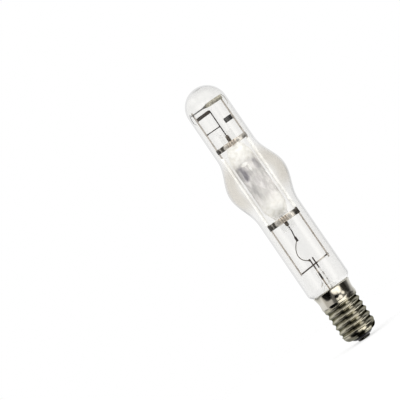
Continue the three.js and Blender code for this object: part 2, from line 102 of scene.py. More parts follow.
THREAD_PITCH = 6.35 * MM
THREAD_CREST = 19.75 * MM
THREAD_DEPTH = 1.75 * MM
THREAD_RANGE = (12.2 * MM, 45 * MM)
THREAD_PHASE = 1.6 * MM
SHELL_SHEET = 0.5 * MM
LIP_BEND = 6.4 * MM
LIP_TOP = 11.6 * MM
MOUTH_RADIUS = 12.5 * MM
LIP_CENTRE = (MOUTH_RADIUS, LIP_TOP)
CLEARANCE = 0.3 * MM


# ---- meshes ----

POLE_RADIUS = 1e-7      # anything closer to the axis than this is on it


def spaced(start, end, count):
    return [start + (end - start) * i / count for i in range(count + 1)]


def smooth_step(t):
    s = min(max(t, 0.0), 1.0)
    return s * s * (3 - 2 * s)


def upright(node, steps):
    """A straight path up the middle of a node."""
    place = middle(node)
    return [(place.x, place.y, z) for z in spaced(low(node).z, high(node).z, steps)]


def arc(centre, across, up, start, end, steps):
    """(radius, height) pairs on an ellipse from one angle to another; 0 points outwards, QUARTER up."""
    return [
        (centre[0] + across * cos(angle), centre[1] + up * sin(angle))
        for angle in spaced(start, end, steps)
    ]


def bridge(lower, upper):
    """Faces between two rings of vertex numbers that run counter-clockwise. A ring of one is a pole."""
    count = max(len(lower), len(upper))
    faces = []
    for k in range(count):
        a, b = lower[k % len(lower)], lower[(k + 1) % len(lower)]
        d, c = upper[k % len(upper)], upper[(k + 1) % len(upper)]
        corners = [a]
        for corner in (b, c, d):
            if corner not in corners:
                corners.append(corner)
        faces.append(corners)
    return faces


def turned(outline, segments=96, closed=False, centre=(0, 0), groove=None):
    """Turns (radius, height) pairs about the Z axis, upwards on the outside. A radius of 0 is a pole."""
    vertices, rings, faces = [], [], []
    for radius, height in outline:
        if radius < POLE_RADIUS:
            rings.append([len(vertices)])
            vertices.append((centre[0], centre[1], height))
            continue
        rings.append(list(range(len(vertices), len(vertices) + segments)))
        for k in range(segments):
            angle = TAU * k / segments
            r = radius - (groove(height, angle) if groove else 0)
            vertices.append((centre[0] + r * cos(angle), centre[1] + r * sin(angle), height))
    if closed:
        rings.append(rings[0])
    for lower, upper in zip(rings, rings[1:]):
        faces += bridge(lower, upper)
    return vertices, faces


def lofted(rings):
    """Joins rings of points, all with the same count, and closes both ends."""
    count = len(rings[0])
    vertices = [tuple(point) for ring in rings for point in ring]
    numbers = [list(range(i * count, (i + 1) * count)) for i in range(len(rings))]
    faces = [list(reversed(numbers[0])), numbers[-1]]
    for lower, upper in zip(numbers, numbers[1:]):
        faces += bridge(lower, upper)
    return vertices, faces


def swept(path, section, side=None, scale=None):
    """Carries a section of (u, v) pairs along a path; u follows side, or a direction that never twists."""
    points = [Vector(p) for p in path]
    last = len(points) - 1
    tangents = [(points[min(i + 1, last)] - points[max(i - 1, 0)]).normalized() for i in range(last + 1)]
    across = Vector(side) if side else tangents[0].orthogonal()
    rings = []
    for i, (point, tangent) in enumerate(zip(points, tangents)):
        across = (across - tangent * across.dot(tangent)).normalized()
        up = tangent.cross(across)
        s = scale(i / last) if scale else 1.0
        rings.append([point + (across * u + up * v) * s for u, v in section])
    return lofted(rings)


def round_section(radius, sides=16):
    return [(radius * cos(TAU * k / sides), radius * sin(TAU * k / sides)) for k in range(sides)]


def squarish_section(half_u, half_v, square, sides):
    """A superellipse: an ellipse where square is 2, and nearer to a rectangle where it is more."""
    power = 2 / square
    return [
        (half_u * copysign(abs(u) ** power, u), half_v * copysign(abs(v) ** power, v))
        for u, v in round_section(1, sides)
    ]


def flat_section(width, thickness, corner=0.45):
    """A flat rectangle with rounded edges; corner is the share of the thickness taken by each rounding."""
    r = thickness * corner
    u, v = width / 2 - r, thickness / 2 - r
    section = []
    for quadrant, centre in enumerate(((u, v), (-u, v), (-u, -v), (u, -v))):
        section += arc(centre, r, r, quadrant * QUARTER, (quadrant + 1) * QUARTER, 3)
    return section


def curve_through(points, steps=8):
    """A smooth curve through the points (Catmull-Rom)."""
    p = [Vector(q) for q in points]
    p = [2 * p[0] - p[1]] + p + [2 * p[-1] - p[-2]]
    path = []
    for i in range(1, len(p) - 2):
        for k in range(steps):
            t = k / steps
            path.append(0.5 * (
                2 * p[i]
                + (p[i + 1] - p[i - 1]) * t
                + (2 * p[i - 1] - 5 * p[i] + 4 * p[i + 1] - p[i + 2]) * t ** 2
                + (3 * p[i] - p[i - 1] - 3 * p[i + 1] + p[i + 2]) * t ** 3
            ))
    path.append(p[-2])
    return path


def rounded_wire(path, radius, sides=16):
    """A round wire with softened ends."""
    points = [Vector(p) for p in path]
    start = (points[1] - points[0]).normalized()
    end = (points[-1] - points[-2]).normalized()
    soften = ((0.0, 0.45), (0.12, 0.75), (0.4, 0.94), (0.8, 1.0))
    body = points[1:-1]
    head = [points[0] + start * radius * along for along, _ in soften]
    tail = [points[-1] - end * radius * along for along, _ in reversed(soften)]
    scales = [s for _, s in soften] + [1.0] * len(body) + [s for _, s in reversed(soften)]
    full = head + body + tail
    last = len(full) - 1
    return swept(full, round_section(radius, sides), scale=lambda t: scales[round(t * last)])


def joined(*parts):
    """Several (vertices, faces) shapes as one."""
    vertices, faces = [], []
    for part_vertices, part_faces in parts:
        start = len(vertices)
        vertices += part_vertices
        faces += [[start + number for number in face] for face in part_faces]
    return vertices, faces


def moved(shape, change):
    vertices, faces = shape
    return [tuple(change(Vector(v))) for v in vertices], faces


def weld_bead(centre, radii_mm, seed):
    """A small lumpy bead of fused metal."""
    offset = Vector((seed * 7.1, seed * 3.3, 0))

    def lump(v):
        swell = 1 + 0.14 * noise.noise(v * 1.6 + offset)
        return Vector(centre) + v * Vector(radii_mm) * MM * swell

    return moved(turned(arc((0, 0), 1, 1, -QUARTER, QUARTER, 10), 16), lump)


def placed(name, data):
    """A new object in the scene."""
    made = bpy.data.objects.new(name, data)
    scene.collection.objects.link(made)
    return made


def piece(name, shape, material, node, sharp_angle=40):
    """Makes the mesh object. It stands for its CAD node, which it hides."""
    mesh = bpy.data.meshes.new(name)
    mesh.from_pydata(shape[0], [], shape[1])
    mesh.validate()
    mesh.shade_smooth()
    mesh.set_sharp_from_angle(angle=radians(sharp_angle))
    mesh.materials.append(material)
    made = placed(name, mesh)
    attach(made, "root")
    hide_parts(node)


# ---- shader building ----

class Shader:
    """A node tree with short calls: an input is a value or another node's output."""

    def __init__(self, owner):
        self.owner = owner
        owner.use_nodes = True
        self.tree = owner.node_tree
        self.tree.nodes.clear()

    def add(self, kind, values=None, **settings):
        made = self.tree.nodes.new("ShaderNode" + kind)
        for key, value in settings.items():
            setattr(made, key, value)
        for key, value in (values or {}).items():
            if isinstance(value, bpy.types.NodeSocket):
                self.tree.links.new(value, made.inputs[key])
            else:
                made.inputs[key].default_value = value
        return made.outputs

    def math(self, operation, a, b=0.0, c=0.0, clamp=False):
        return self.add("Math", {0: a, 1: b, 2: c}, operation=operation, use_clamp=clamp)[0]

    def times(self, *factors):
        return reduce(partial(self.math, "MULTIPLY"), factors)

    def most(self, *values):
        return reduce(partial(self.math, "MAXIMUM"), values)

    def away(self, value, centre):
        """The distance of a value from a centre."""
        return self.math("ABSOLUTE", self.math("SUBTRACT", value, centre))

    def ramp(self, value, low_in, high_in, low_out=0.0, high_out=1.0):
        return self.add("MapRange", {
            "Value": value, "From Min": low_in, "From Max": high_in, "To Min": low_out, "To Max": high_out,
        }, interpolation_type="SMOOTHSTEP")[0]

    def band(self, value, rise, full, fade, gone):
        """1 from full to fade, and 0 below rise and above gone."""
        return self.times(self.ramp(value, rise, full), self.ramp(value, gone, fade))

    def mix(self, factor, a, b):
        return self.add("Mix", {0: factor, 6: a, 7: b}, data_type="RGBA")[2]

    def position(self):
        return self.add("NewGeometry")["Position"]

    def place(self):
        """The shaded point's x, y and z in millimetres."""
        scaled = self.add("VectorMath", {0: self.position(), "Scale": 1 / MM}, operation="SCALE")[0]
        return tuple(self.add("SeparateXYZ", {0: scaled}))

    def facing(self):
        """0 where the surface faces the eye, and 1 where it is seen edge-on."""
        return self.add("LayerWeight", {"Blend": 0.5})["Facing"]

    def noise(self, scale, detail=3.0, stretch=(1, 1, 1), roughness=0.5):
        mapped = self.add("Mapping", {"Vector": self.position(), "Scale": stretch})[0]
        return self.add("TexNoise", {
            "Vector": mapped, "Scale": scale, "Detail": detail, "Roughness": roughness,
        })[0]

    def uneven(self, scale, least, greatest):
        """A value that changes in patches."""
        return self.ramp(self.noise(scale, 3), 0.3, 0.7, least, greatest)

    def wander(self, value, amount, scale, detail=4):
        """The value plus noise, so that an edge made from it is ragged."""
        return self.math("MULTIPLY_ADD", self.noise(scale, detail), amount, value)

    def bump(self, value, strength, distance=0.05 * MM):
        return self.add("Bump", {"Height": value, "Strength": strength, "Distance": distance})[0]

    def blend(self, factor, a, b):
        return self.add("MixShader", {0: factor, 1: a, 2: b})[0]

    def principled(self, colour, roughness, normal=None, **others):
        """The general surface. Other inputs go by their names, with _ for a space."""
        values = {"Base Color": colour, "Roughness": roughness}
        for name, value in others.items():
            values[name.replace("_", " ")] = value
        if normal is not None:
            values["Normal"] = normal
        return self.add("BsdfPrincipled", values)[0]

    def surface(self, shader):
        """Ends the material and returns it."""
        self.add("OutputMaterial", {"Surface": shader})
        return self.owner

    def grained(self, colour, groove, roughness, metallic, scale=400, grain=(0.05, 1, 1), rise=(0.5, 0.8),
                share=0.5, bump=0.2):
        """Ends the material as metal with fine grooves along one direction."""
        lines = self.noise(scale, 4, grain)
        colour = self.mix(self.ramp(lines, *rise, 0.0, share), colour, groove)
        return self.surface(self.principled(colour, roughness, self.bump(lines, bump), Metallic=metallic))

    def lets_light_in(self, glass):
        """Refracts what the eye sees, but lets other light straight through, so the inside is well lit."""
        ray = self.add("LightPath")
        mirrored = self.math("SUBTRACT", ray["Is Glossy Ray"], ray["Is Transmission Ray"], clamp=True)
        other = self.most(ray["Is Shadow Ray"], ray["Is Diffuse Ray"], mirrored)
        return self.blend(other, glass, self.add("BsdfTransparent", {"Color": grey(0.97)})[0])


def grey(value):
    return (value, value, value, 1.0)


def rgb(red, green, blue):
    return (red, green, blue, 1.0)


def new_shader(name):
    return Shader(bpy.data.materials.new(name))


# ---- materials: places in them are in millimetres ----

def clear_glass(name, tint, waviness, ior=1.47):
    """Blown glass: almost colourless and faintly wavy, with a painted warm reflection where the bulge is
    seen edge-on.
    """
    s = new_shader(name)
    normal = s.bump(s.noise(38, 2, (1, 1, 0.35)), waviness, 0.4 * MM)
    bulge = s.band(s.place()[2], 168, 190, 214, 236)
    edge_on = s.ramp(s.facing(), 0.08, 0.34)
    # Painted reflection: a beige tint where the bulge is seen edge-on.
    colour = s.mix(s.times(bulge, edge_on), tint, rgb(0.83, 0.8, 0.745))
    glass = s.principled(colour, 0.01, normal, IOR=ior, Transmission_Weight=1.0)
    return s.surface(s.lets_light_in(glass))


def coated_quartz():
    """Arc tube: fused quartz with a white fired coat on both ends and grey salt condensed in between, and a
    painted highlight in coat white just below the upper coat.
    """
    s = new_shader("arc_tube_quartz")
    x, y, z = s.place()

    def blob(centre_x, centre_z, half_x, half_z):
        """1 in the middle of an oval on the front, and 0 outside it."""
        across = s.math("DIVIDE", s.away(x, centre_x), half_x)
        along = s.math("DIVIDE", s.away(z, centre_z), half_z)
        distance = s.math("ADD", s.times(across, across), s.times(along, along))
        return s.times(s.ramp(distance, 1.0, 0.25), s.ramp(y, 2, -2))

    edge = s.math("SUBTRACT", s.wander(z, 9, 150), 4.5)
    upper = s.times(s.ramp(edge, 217, 228), s.ramp(z, 245.5, 243.5))
    lower = s.times(s.ramp(edge, 184, 164), s.ramp(z, 152.5, 154.5))
    # The two blobs are a painted highlight: coat white just below the upper coat, at the front.
    coat_and_highlight_mask = s.most(upper, lower, blob(-1.2, 218.5, 4.6, 2.6), blob(1.6, 213.5, 1.5, 6))

    waves = s.bump(s.noise(70, 3), 0.25, 0.3 * MM)
    quartz = s.principled(rgb(0.97, 0.97, 0.965), 0.03, waves, IOR=1.46, Transmission_Weight=1.0)
    coat_colour = s.mix(s.ramp(s.noise(240, 5), 0.4, 0.65), rgb(0.98, 0.975, 0.95), rgb(0.8, 0.79, 0.74))
    coat_diffuse = s.principled(coat_colour, 0.6, s.bump(s.noise(1400, 4), 0.35, 0.08 * MM))
    coat_glow = s.add("BsdfTranslucent", {"Color": rgb(0.97, 0.96, 0.94)})[0]
    coat = s.blend(0.42, coat_diffuse, coat_glow)

    # Condensate: a milky film all over, mottled, and darker smudges on the front below the upper coat.
    mottle = s.noise(110, 6, (1, 1, 0.6), 0.6)
    streaks = s.most(s.ramp(s.noise(170, 4, (1, 1, 0.3)), 0.35, 0.6), 0.45)
    dark = s.times(s.most(blob(-8, 211, 7.5, 11), blob(9, 213, 3, 9)), streaks)
    faint = s.times(s.most(blob(-7, 191, 3.6, 8), blob(5, 189, 4, 6)), 0.25)
    dark = s.most(dark, faint)
    speckle = s.ramp(s.noise(330, 4, (1, 1, 0.4)), 0.45, 0.6)
    edge_on = s.ramp(s.facing(), 0.35, 0.85)
    film_colour = s.mix(s.ramp(mottle, 0.38, 0.62), rgb(0.78, 0.77, 0.75), rgb(0.97, 0.95, 0.94))
    film_colour = s.mix(s.times(speckle, 0.4), film_colour, rgb(0.45, 0.43, 0.42))
    film_colour = s.mix(s.times(dark, 0.72), film_colour, rgb(0.09, 0.08, 0.12))
    # Painted shade: the film is darker where the tube is seen edge-on.
    film_colour = s.mix(s.times(edge_on, 0.6), film_colour, rgb(0.42, 0.41, 0.38))
    film_gloss = s.principled(film_colour, 0.35, Coat_Weight=0.25, Coat_Roughness=0.08)
    film_glow = s.add("BsdfTranslucent", {"Color": film_colour})[0]
    film = s.blend(0.45, film_gloss, film_glow)
    thickness = s.math("ADD", s.ramp(mottle, 0.3, 0.7, 0.5, 0.75), s.times(dark, 0.3), clamp=True)

    end = size("arc_tube").z / 2 / MM
    cut_end = s.ramp(s.away(z, middle("arc_tube").z / MM), end - 1.0, end - 0.4, 0, 0.5)
    filmed = s.most(s.band(z, 153, 156, 242, 245), cut_end)
    hazed = s.blend(s.times(thickness, filmed), s.lets_light_in(quartz), film)
    return s.surface(s.blend(coat_and_highlight_mask, hazed, coat))


def metal(name, light, dark, roughness, grain=(1, 1, 1), metallic=1.0, bump=0.2):
    """Drawn or rolled metal: patchy colour, patchy roughness and a fine grain along one direction."""
    s = new_shader(name)
    colour = s.mix(s.ramp(s.noise(120, 4), 0.35, 0.7), light, dark)
    rough = s.uneven(260, roughness - 0.08, roughness + 0.08)
    return s.grained(colour, dark, rough, metallic, grain=grain, rise=(0.55, 0.8), bump=bump)


def strap_nickel():
    """Polished nickel strip: cream on the pinch, darker towards the rods, most on the left."""
    s = new_shader("strap_nickel")
    x, _, z = s.place()
    wandering = s.wander(x, 3, 260)
    stain = s.times(s.ramp(s.away(x, 0), 8, 3), s.noise(330, 4))
    slot = s.ramp(s.away(wandering, -12.2), 0.4, 1.1, 0.55, 1.0)
    left = s.times(s.ramp(wandering, -7.5, -9), slot)
    on_lower_strap = s.ramp(z, 210, 190)
    right = s.times(s.ramp(wandering, 12, 15.5), s.math("MULTIPLY_ADD", on_lower_strap, 0.45, 0.5))
    colour = s.mix(stain, rgb(0.92, 0.88, 0.82), rgb(0.55, 0.43, 0.31))
    colour = s.mix(s.most(left, right), colour, rgb(0.045, 0.038, 0.03))
    rough = s.uneven(300, 0.18, 0.32)
    return s.grained(colour, rgb(0.3, 0.27, 0.24), rough, 0.75, 500, rise=(0.55, 0.8), share=0.3, bump=0.15)


def spring_steel():
    """Spring strip: straw grey on the right, dark on the left."""
    s = new_shader("spring_steel")
    wandering = s.wander(s.place()[0], 4, 200)
    colour = s.mix(s.ramp(wandering, -2, 3), rgb(0.075, 0.07, 0.07), rgb(0.52, 0.5, 0.42))
    return s.grained(colour, rgb(0.1, 0.09, 0.08), s.uneven(260, 0.2, 0.36), 0.8)


def lead_metal():
    """Stem leads: dark wire above the press, and in the glass bright metal with spots of oxide on the right
    and a brown seal on the left."""
    s = new_shader("stem_lead")
    x, _, z = s.place()

    def near(height, half_length):
        return s.ramp(s.away(z, height), half_length, half_length * 0.5)

    spots = s.times(s.most(near(80, 2.0), near(72.6, 1.6)), 0.7)
    right = s.mix(spots, rgb(0.95, 0.94, 0.92), rgb(0.25, 0.23, 0.22))
    left = s.mix(near(79, 5.5), rgb(0.42, 0.36, 0.3), rgb(0.05, 0.04, 0.035))
    in_glass = s.mix(s.ramp(x, 0.9, 0.1), right, left)
    above = s.ramp(s.wander(z, 3, 300, 3), 87, 90)
    colour = s.mix(above, in_glass, rgb(0.07, 0.055, 0.05))
    return s.surface(s.principled(colour, 0.4, s.bump(s.noise(900, 3), 0.2), Metallic=0.3))


def crossbar_metal():
    """Dark oxidised wire with a painted highlight: a brighter stretch between the right lead and the right
    rod.
    """
    s = new_shader("crossbar_wire")
    # Painted highlight: the wire is lighter between the right lead and the right rod.
    bright = s.band(s.place()[0], 3, 6, 12, 15)
    colour = s.mix(bright, rgb(0.1, 0.085, 0.075), rgb(0.72, 0.67, 0.61))
    return s.grained(colour, rgb(0.08, 0.07, 0.06), 0.4, 0.6, rise=(0.5, 0.75))


def cap_nickel():
    """Nickel-plated brass, bright on the crests of the thread. Painted shade makes it olive down in its
    grooves, and painted dark reflections make it black in them and on the lip at the front. Toward its right
    side a painted dark reflection dulls the crests as well."""
    s = new_shader("cap_nickel")
    x, y, z = s.place()
    radius = s.math("SQRT", s.math("ADD", s.times(x, x), s.times(y, y)))
    at_front = s.ramp(y, -1, -5)
    crest, lip_top = THREAD_CREST / MM, LIP_TOP / MM

    def column(centre, half_width):
        """1 on an upright stripe of the front, and 0 beside it."""
        return s.times(s.ramp(s.away(x, centre), half_width + 1, half_width - 1), at_front)

    patch = s.noise(90, 5)
    # Painted shade: the grooves are coloured olive. It is thinned on a stripe right of centre at the front,
    # which is left bright as a painted highlight.
    depth = s.ramp(radius, crest - 0.6, crest - THREAD_DEPTH / MM)
    depth = s.times(depth, s.ramp(z, lip_top, lip_top + 1.5))
    painted_highlight_cut = s.math("SUBTRACT", 1.0, s.times(column(6.6, 2.2), 0.85))
    groove_shade = s.times(depth, s.ramp(patch, 0.2, 0.6, 0.75, 1.0), painted_highlight_cut)
    # Painted dark reflections: black in the front grooves and on the lip below them, and on a stripe toward
    # the right side, where the crests are dulled too.
    grooves_and_low_lip = s.most(depth, s.ramp(z, 11, 9.8))
    front_dark_reflection = s.times(column(-0.6, 4.4), grooves_and_low_lip)
    side_dark_reflection = s.times(column(15.6, 3.2), s.most(grooves_and_low_lip, 0.45))
    painted_dark_reflection = s.times(s.most(front_dark_reflection, side_dark_reflection), 0.9)
    collar = s.ramp(z, 44, 48)
    scratch = s.noise(700, 4, (1, 1, 9))
    # Painted shade: the thread is coloured darker than the collar above it, for the shade between its turns.
    bare_metal_with_thread_shade = s.mix(collar, rgb(0.66, 0.63, 0.52), rgb(0.84, 0.81, 0.74))
    colour = s.mix(s.ramp(patch, 0.35, 0.7, 0, 0.6), bare_metal_with_thread_shade, rgb(0.5, 0.475, 0.36))
    colour = s.mix(groove_shade, colour, rgb(0.15, 0.14, 0.085))
    colour = s.mix(painted_dark_reflection, colour, rgb(0.012, 0.011, 0.006))
    colour = s.mix(s.ramp(scratch, 0.62, 0.75, 0.0, 0.3), colour, rgb(0.3, 0.29, 0.24))
    rough = s.math("SUBTRACT", s.uneven(200, 0.12, 0.2), s.times(collar, 0.05))
    edge_tint = s.mix(collar, s.mix(painted_dark_reflection, rgb(0.45, 0.46, 0.42), grey(0.1)), grey(1.0))
    return s.surface(s.principled(
        colour, rough, s.bump(scratch, 0.12), Metallic=1.0, Specular_Tint=edge_tint,
    ))


def solid(name, light, dark, roughness, scale=300, bump=0.3, distance=0.1, specular=0.5):
    """A non-metal with patchy colour and a grainy surface."""
    s = new_shader(name)
    normal = s.bump(s.noise(scale, 5), bump, distance * MM)
    colour = s.mix(s.ramp(s.noise(scale / 3, 4), 0.35, 0.65), light, dark)
    return s.surface(s.principled(colour, roughness, normal, Specular_IOR_Level=specular))


BULB_GLASS = clear_glass("bulb_glass", rgb(0.985, 0.982, 0.972), 0.25)
STEM_GLASS = clear_glass("stem_glass", rgb(0.985, 0.985, 0.975), 0.0, 1.05)
QUARTZ = coated_quartz()
STRAP = strap_nickel()
WIRE = metal("frame_wire", rgb(0.66, 0.61, 0.56), rgb(0.46, 0.42, 0.37), 0.35, (1, 1, 0.04), 0.6)
LEAD = lead_metal()
CROSSBAR = crossbar_metal()
DARK_WIRE = metal("dark_wire", rgb(0.16, 0.14, 0.13), rgb(0.06, 0.05, 0.05), 0.42, (1, 1, 0.05))
RIBBON = metal("ribbon_nickel", rgb(0.24, 0.21, 0.18), rgb(0.1, 0.085, 0.07), 0.3, (1, 1, 0.05), 0.8)
SPRING = spring_steel()
TUNGSTEN = metal("tungsten", rgb(0.3, 0.3, 0.31), rgb(0.14, 0.14, 0.15), 0.45, (1, 1, 0.1))
MOLYBDENUM = metal("molybdenum", rgb(0.42, 0.38, 0.34), rgb(0.25, 0.2, 0.17), 0.35, (1, 1, 0.1))
CAP_METAL = cap_nickel()
# The centre contact is painted nearly black for the shade it lies in under the cap.
CONTACT = metal("contact_painted_dark", rgb(0.13, 0.125, 0.11), rgb(0.05, 0.047, 0.04), 0.28)
SOLDER = metal("solder", rgb(0.72, 0.72, 0.73), rgb(0.5, 0.5, 0.52), 0.28, bump=0.4)
CERAMIC = solid("white_ceramic", rgb(0.9, 0.89, 0.86), rgb(0.8, 0.79, 0.76), 0.5, 500, 0.25, 0.06)
BLACK_GLASS = solid("black_glass", grey(0.003), rgb(0.008, 0.007, 0.009), 0.07, 60, 0.12, 0.4, 0.35)
GETTER = solid("getter_powder", grey(0.012), grey(0.03), 0.85, 900, 0.8, 0.2, 0.2)
CEMENT = solid("basing_cement", rgb(0.72, 0.69, 0.61), rgb(0.58, 0.55, 0.48), 0.9, 500, 0.8, 0.3)
SALT = solid("metal_salt", rgb(0.5, 0.47, 0.54), rgb(0.3, 0.28, 0.33), 0.55, 600, 0.9, 0.3)


# ---- outer bulb ----

def bulb_radius(z):
    """Outer radius of the glass below the dome: neck end, shoulder, neck, bulge and dome tube."""
    into_neck = smooth_step((z - SHOULDER[0]) / (SHOULDER[1] - SHOULDER[0]))
    neck = NECK_END_RADIUS + (NECK_RADIUS - NECK_END_RADIUS) * into_neck
    into_tube = smooth_step((z - BULGE_CENTRE) / BULGE_HALF_LENGTH + 0.5)
    base = neck + (DOME_RADIUS - neck) * into_tube
    from_centre = min(abs(z - BULGE_CENTRE) / BULGE_HALF_LENGTH, 1)
    swell = 0.5 + 0.5 * cos(pi * from_centre)
    return base + (BULGE_RADIUS - base) * swell


def build_outer_bulb():
    dome_centre = LENGTH - DOME_RADIUS
    heights = spaced(NECK_END, SHOULDER[1], 20) + spaced(SHOULDER[1] + 2 * MM, dome_centre, 110)
    tip_drop = 1.6 * MM      # the glass is thicker where the tip was sealed
    tip_spread = 0.22

    def skin(inset):
        lines = [(bulb_radius(z) - inset, z) for z in heights]
        for angle in spaced(0, QUARTER, 28)[1:]:
            drop = tip_drop * exp(-((QUARTER - angle) / tip_spread) ** 2) if inset else 0
            lines.append((
                (DOME_RADIUS - inset) * cos(angle),
                dome_centre + (DOME_RADIUS - inset - drop) * sin(angle),
            ))
        return lines

    outline = list(reversed(skin(GLASS_WALL))) + skin(0)
    piece("outer_bulb_glass", turned(outline, 128), BULB_GLASS, "outer_bulb")


# ---- stem and its leads ----

def build_stem():
    """A flared tube, closed at the top by a flat press that grips the two leads."""
    flare_radius = high("glass_stem").x
    flare_bottom = low("glass_stem").z
    flare_top = 65 * MM
    tube_radius = 8 * MM
    wall = 1.2 * MM
    press_start = 66 * MM
    press_top = high("glass_stem").z
    press_centre = Vector((0.5 * MM, 0, 0))
    press_blend = 9 * MM
    spread = (RIGHT_LEAD - LEFT_LEAD).xy
    glass_beside_lead = 3.25 * MM
    half_width = spread.length / 2 + glass_beside_lead
    half_thickness = 2.5 * MM
    along = spread.normalized().to_3d()
    across = Vector((-along.y, along.x, 0))

    def ring(z, half_long, half_short, square=2, centre=Vector()):
        base = centre + Vector((0, 0, z))
        section = squarish_section(half_long, half_short, square, 64)
        return [base + along * u + across * v for u, v in section]

    def round_ring(z, radius):
        return ring(z, radius, radius)

    def flare(inset):
        rings = []
        for angle in spaced(0, QUARTER, 14):
            r = flare_radius - (flare_radius - tube_radius + inset) * sin(angle)
            z = flare_top - (flare_top - flare_bottom + inset) * cos(angle)
            rings.append(round_ring(z, r))
        return rings

    def press():
        rings = []
        for z in spaced(press_start, press_top - 1.5 * MM, 16):
            t = smooth_step((z - press_start) / press_blend)
            half_long = tube_radius + (half_width - tube_radius) * t
            half_short = tube_radius + (half_thickness - tube_radius) * t
            rings.append(ring(z, half_long, half_short, 2 + 1.6 * t, press_centre * t))
        for drop, share in ((0.7 * MM, 0.95), (0.2 * MM, 0.85), (0, 0.6)):
            z = press_top - drop
            rings.append(ring(z, half_width * share, half_thickness * share, 3.6, press_centre))
        return rings

    inner = [
        round_ring(press_start + 2.5 * MM, 2 * MM),
        round_ring(press_start + 2 * MM, 4.5 * MM),
        round_ring(press_start, tube_radius - wall),
    ]
    rings = inner + list(reversed(flare(wall))) + flare(0) + press()
    piece("stem_glass_press", lofted(rings), STEM_GLASS, "glass_stem")


def build_exhaust_tube():
    node = "exhaust_tube"
    bottom, top = low(node).z, high(node).z
    radius = size(node).x / 2
    bore = radius - 0.8 * MM
    tip = 4 * MM
    outline = arc((0, bottom + tip), radius, tip, -QUARTER, 0, 10)
    outline += [(radius, top - 0.3 * MM), (radius - 0.2 * MM, top), (bore, top)]
    outline += arc((0, bottom + tip + 2 * MM), bore, tip * 0.6, 0, -QUARTER, 8)
    shape = turned(outline, 40, centre=middle(node).xy)
    piece(node + "_glass", shape, STEM_GLASS, node)


def build_stem_lead(node):
    """A lead: plain wire, with a thicker oxidised seal length inside the press."""
    bottom, top = low(node).z, high(node).z
    seal_low, seal_high, seal_taper = 73.5 * MM, 82.5 * MM, 2 * MM
    seal_swell = 0.3

    def scale(t):
        z = bottom + (top - bottom) * t
        seal = smooth_step((z - seal_low) / seal_taper) * smooth_step((seal_high - z) / seal_taper)
        softened_end = smooth_step(min(t, 1 - t) * 90 + 0.35)
        return (1 + seal_swell * seal) * softened_end

    shape = swept(upright(node, 60), round_section(LEAD_RADIUS), scale=scale)
    piece(node + "_wire", shape, LEAD, node)


# ---- mount frame ----

SPRING_THICKNESS = 0.35 * MM


def build_side_rod(node):
    piece(node + "_wire", rounded_wire(upright(node, 12), ROD_RADIUS), WIRE, node)


def build_crossbar():
    """The bar is welded to both rods and to the right stem lead, with a lump of metal at each weld."""
    node = "bottom_crossbar"
    place = middle(node)
    radius = size(node).z / 2
    rise = 0.08      # it climbs a little towards the right

    def on_bar(x, y):
        return (x, place.y + y, place.z + rise * x)

    bar = rounded_wire([on_bar(x, 0) for x in spaced(low(node).x, high(node).x, 12)], radius)
    beads = [
        weld_bead(on_bar(-ROD_X, -radius), (1.1, 1.2, 1.1), 1),
        weld_bead(on_bar(ROD_X, -radius), (1.5, 1.3, 1.4), 2),
        weld_bead(on_bar(RIGHT_LEAD.x, radius), (1.2, 1.3, 1.7), 3),
    ]
    piece(node + "_wire", joined(bar, *beads), CROSSBAR, node)


def build_sleeve(node):
    outer = size(node).x / 2
    inner = outer - 0.6 * MM
    bottom, top = low(node).z, high(node).z
    soft = 0.15 * MM
    outline = [
        (inner + soft, bottom), (outer - soft, bottom), (outer, bottom + soft),
        (outer, top - soft), (outer - soft, top), (inner + soft, top),
        (inner, top - soft), (inner, bottom + soft),
    ]
    shape = turned(outline, 40, closed=True, centre=middle(node).xy)
    piece(node + "_tube", shape, CERAMIC, node)


def build_strap(node, face):
    """Half a clamp: flat on the pinch, stepped back in an S to each rod, and curled round it."""
    thickness = 0.45 * MM
    z = middle(node).z
    at_pinch = PINCH_THICKNESS / 2 + 0.25 * MM + thickness / 2
    curl = ROD_RADIUS + 0.1 * MM + thickness / 2
    rib, rib_pitch = 0.22 * MM, 2.8 * MM
    step_start, step_length = 8.4 * MM, 5 * MM
    half = []
    for x in spaced(0, 2 * rib_pitch, 28):
        half.append((x, at_pinch + rib * (0.5 - 0.5 * cos(TAU * x / rib_pitch))))
    for t in spaced(0, 1, 8):
        half.append((step_start + step_length * t, at_pinch + (curl - at_pinch) * smooth_step(t)))
    half.append((15.5 * MM, curl))
    half += arc((ROD_X, 0), curl, curl, QUARTER, radians(8), 9)
    line = [(-x, y) for x, y in reversed(half[1:])] + half
    path = [(x, face * y, z) for x, y in line]
    shape = swept(path, flat_section(size(node).z, thickness), side=(0, 0, 1))
    piece(node + "_band", shape, STRAP, node)


def build_top_strap():
    """A thin band across the tops of the rods: edge-on at the left, and twisted upright at the right."""
    node = "top_strap"
    y, z = middle(node).y, middle(node).z
    section = flat_section(size(node).z, SPRING_THICKNESS)
    greatest_bow = 1.2 * MM
    greatest_lean = radians(66)
    twist_start, twist_share = 0.35, 0.3
    rings = []
    for t in spaced(0, 1, 40):
        x = low(node).x + size(node).x * t
        bow = -greatest_bow * sin(pi * t)
        lean = greatest_lean * (1 - smooth_step((t - twist_start) / twist_share))
        upwards = Vector((0, sin(lean), cos(lean)))
        outward = Vector((1, 0, 0)).cross(upwards)
        rings.append([Vector((x, y + bow, z)) + upwards * u + outward * v for u, v in section])
    piece(node + "_band", lofted(rings), SPRING, node)


